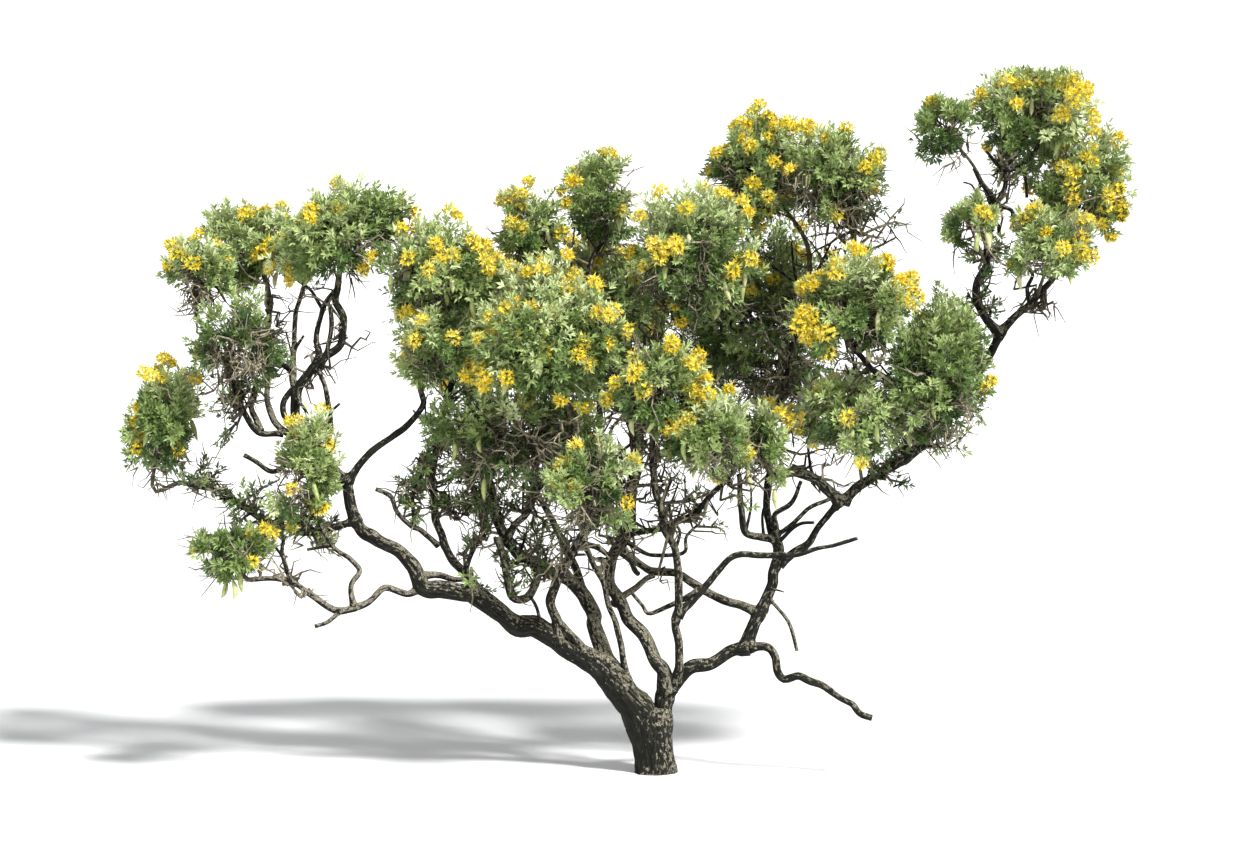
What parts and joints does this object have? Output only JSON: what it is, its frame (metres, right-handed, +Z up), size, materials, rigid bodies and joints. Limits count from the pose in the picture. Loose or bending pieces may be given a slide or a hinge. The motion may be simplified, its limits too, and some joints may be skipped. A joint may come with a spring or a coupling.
{
  "type": "shrub",
  "caption": "open, wide-crowned desert shrub: a short leaning trunk that forks low, crooked bare boughs and separate leafy masses with yellow flower heads and hanging pods",
  "frame": {"origin": "centre of the flat cut under the trunk, at ground level", "axes": "+Z up, +X to the right across the shrub's broad side as the picture shows it, +Y away from the viewer"},
  "size_m": [2.0017, 0.7824, 1.4018],
  "materials": {
    "bark": "rough grey-brown bark",
    "foliage": "matt grey-green leaves with yellow flowers and pale pods"
  },
  "bodies": {
    "root": {"trunk": "bark", "left_stem": "bark", "right_stem": "bark", "right_stem_upper": "bark", "central_stem": "bark", "left_centre_stem": "bark", "front_stem": "bark", "upright_stem": "bark", "inner_left_limb": "bark", "left_fork_limb": "bark", "left_crown_limb": "bark", "left_inner_limb": "bark", "left_outer_limb": "bark", "left_mid_branch": "bark", "left_low_branch": "bark", "cross_limb": "bark", "back_limb": "bark", "back_left_limb": "bark", "centre_right_limb": "bark", "top_limb": "bark", "right_dead_branch": "bark", "right_bough": "bark", "arch_limb": "bark", "right_long_limb": "bark", "right_crook": "bark", "far_right_limb": "bark", "far_right_outer_limb": "bark", "right_centre_limb": "bark", "right_bent_limb": "bark", "far_left_foliage": "foliage", "left_outer_foliage": "foliage", "left_top_foliage": "foliage", "left_crown_foliage": "foliage", "left_inner_foliage": "foliage", "left_clump_foliage": "foliage", "left_low_foliage": "foliage", "centre_left_top_foliage": "foliage", "centre_left_foliage": "foliage", "top_left_foliage": "foliage", "top_foliage": "foliage", "centre_foliage": "foliage", "lower_centre_foliage": "foliage", "low_clump_foliage": "foliage", "centre_right_foliage": "foliage", "lower_right_foliage": "foliage", "arch_foliage": "foliage", "upper_centre_foliage": "foliage", "top_right_foliage": "foliage", "right_crown_foliage": "foliage", "mid_right_foliage": "foliage", "right_low_foliage": "foliage", "right_back_foliage": "foliage", "far_right_left_foliage": "foliage", "far_right_top_foliage": "foliage", "far_right_outer_foliage": "foliage", "far_right_inner_foliage": "foliage", "far_right_low_foliage": "foliage", "back_left_foliage": "foliage", "back_centre_foliage": "foliage", "back_right_foliage": "foliage"}
  },
  "joints": []
}
